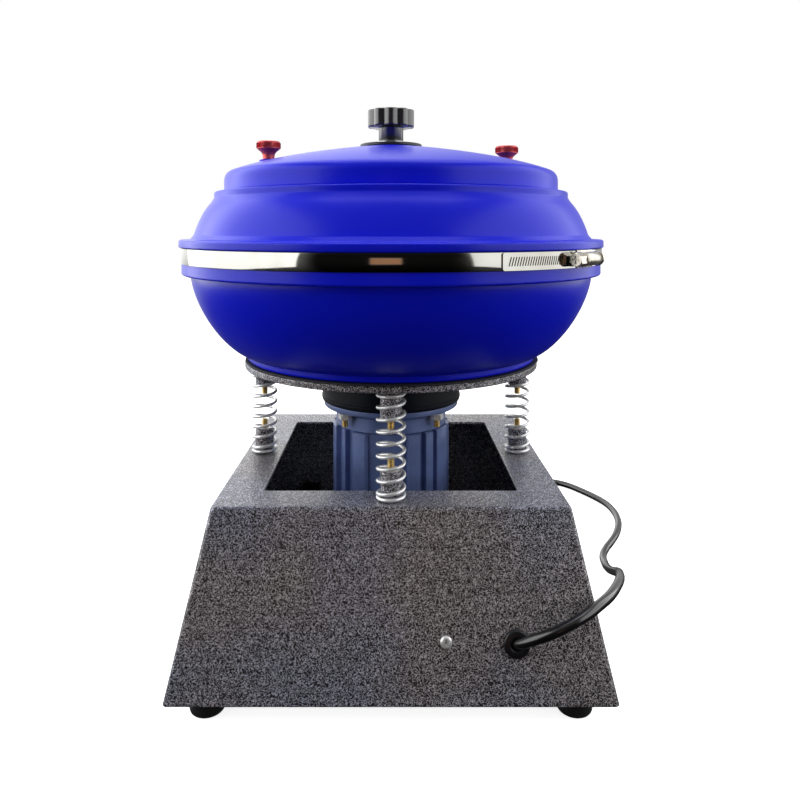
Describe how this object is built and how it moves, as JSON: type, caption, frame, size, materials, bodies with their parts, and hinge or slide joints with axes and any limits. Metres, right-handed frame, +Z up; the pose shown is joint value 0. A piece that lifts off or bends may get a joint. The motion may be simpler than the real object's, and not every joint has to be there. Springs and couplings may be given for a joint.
{
  "type": "vibratory rock tumbler",
  "caption": "Covered ring-shaped bowl on a deck plate with an under-hung eccentric-weight motor, carried on coil springs over a tapered sheet-steel base.",
  "frame": {"origin": "on the floor under the middle of the base", "axes": "+Z up, -Y towards the front face with the cord and the panel screw, +X to the right of someone facing the front"},
  "size_m": [0.4654, 0.5183, 0.4601],
  "materials": {
    "hammertone_paint": "hammertone: charcoal with fine silver veins",
    "bright_steel": "bright zinc",
    "mirror_steel": "polished stainless strip",
    "yellow_zinc": "yellow zinc plated steel",
    "black_rubber": "matt black rubber",
    "black_plastic": "gloss black moulding",
    "black_paint": "black paint on a casting",
    "motor_paint": "blue-grey paint on aluminium castings",
    "blue_plastic": "satin royal blue moulded polyurethane",
    "red_anodised": "red anodised, knurled",
    "cast_iron": "raw casting",
    "windings": "varnished laminations and copper end turns",
    "capacitor_case": "cream moulded case",
    "cord_sheath": "satin black PVC"
  },
  "bodies": {
    "base": {"base_shell": "hammertone_paint", "base_pan": "hammertone_paint", "foot_front_left": "black_rubber", "foot_front_right": "black_rubber", "foot_rear_left": "black_rubber", "foot_rear_right": "black_rubber", "cord_grommet": "black_rubber", "panel_screw": "bright_steel", "capacitor": "capacitor_case", "switch_housing": "black_plastic", "lower_post_front": "hammertone_paint", "lower_post_right": "hammertone_paint", "lower_post_rear": "hammertone_paint", "lower_post_left": "hammertone_paint", "lower_bolt_front": "yellow_zinc", "lower_bolt_right": "yellow_zinc", "lower_bolt_rear": "yellow_zinc", "lower_bolt_left": "yellow_zinc", "spring_front": "bright_steel", "spring_right": "bright_steel", "spring_rear": "bright_steel", "spring_left": "bright_steel", "cord_lead": "cord_sheath", "cord_coil": "cord_sheath", "plug": "cord_sheath"},
    "rocker": {"switch_rocker": "black_plastic"},
    "deck": {"deck_plate": "hammertone_paint", "deck_gasket": "black_rubber", "weight_housing": "black_paint", "motor_top_bell": "motor_paint", "motor_housing": "motor_paint", "motor_bottom_bell": "motor_paint", "stator": "windings", "motor_bolt_front_left": "yellow_zinc", "motor_bolt_front_right": "yellow_zinc", "motor_bolt_rear_left": "yellow_zinc", "motor_bolt_rear_right": "yellow_zinc", "upper_bearing": "bright_steel", "lower_bearing": "bright_steel", "upper_post_front": "hammertone_paint", "upper_post_right": "hammertone_paint", "upper_post_rear": "hammertone_paint", "upper_post_left": "hammertone_paint", "upper_bolt_front": "yellow_zinc", "upper_bolt_right": "yellow_zinc", "upper_bolt_rear": "yellow_zinc", "upper_bolt_left": "yellow_zinc", "lower_bowl": "blue_plastic", "upper_bowl": "blue_plastic", "clamp_band": "mirror_steel", "center_rod": "bright_steel"},
    "rotor": {"rotor_shaft": "bright_steel", "upper_weight": "cast_iron", "lower_weight": "cast_iron"},
    "clamp_screw": {"clamp_screw": "mirror_steel"},
    "lid": {"lid": "blue_plastic"},
    "knob_washer": {"knob_washer": "black_plastic"},
    "knob": {"star_knob": "black_plastic"},
    "thumb_screw_left": {"thumb_screw_left": "red_anodised"},
    "thumb_screw_right": {"thumb_screw_right": "red_anodised"}
  },
  "joints": [
    {"name": "deck_bounce", "type": "slide", "parent": "base", "child": "deck", "axis": [0, 0, 1], "range_m": [-0.006, 0.003], "stiffness_N_per_m": 26500, "springref_m": 0.00425, "deforming": ["spring_front", "spring_right", "spring_rear", "spring_left"]},
    {"name": "rotor_spin", "type": "hinge", "parent": "deck", "child": "rotor", "pos_m": [0, 0, 0.2], "axis": [0, 0, 1], "continuous": true},
    {"name": "lid_lift", "type": "slide", "parent": "deck", "child": "lid", "axis": [0, 0, 1], "range_m": [0, 0.09]},
    {"name": "knob_travel", "type": "slide", "parent": "lid", "child": "knob_washer", "axis": [0, 0, 1], "range_m": [0, 0.012]},
    {"name": "knob_turn", "type": "hinge", "parent": "knob_washer", "child": "knob", "pos_m": [0, 0, 0.445], "axis": [0, 0, 1], "range_deg": [0, 2880]},
    {"name": "thumb_screw_left_turn", "type": "hinge", "parent": "lid", "child": "thumb_screw_left", "pos_m": [-0.1094, -0.0184, 0.42], "axis": [0, 0, 1], "continuous": true},
    {"name": "thumb_screw_right_turn", "type": "hinge", "parent": "lid", "child": "thumb_screw_right", "pos_m": [0.1094, 0.0184, 0.42], "axis": [0, 0, 1], "continuous": true},
    {"name": "clamp_screw_turn", "type": "hinge", "parent": "deck", "child": "clamp_screw", "pos_m": [0.14987, -0.11921, 0.3288], "axis": [-0.6225, -0.7826, 0], "continuous": true},
    {"name": "rocker_tilt", "type": "hinge", "parent": "base", "child": "rocker", "pos_m": [-0.089, 0.15121, 0.06], "axis": [0, -0.2049, 0.9788], "range_deg": [-20, 0]}
  ],
  "couplings": [
    {"joint": "knob_travel", "follows": "knob_turn", "m_per_rad": 0.0002387}
  ]
}
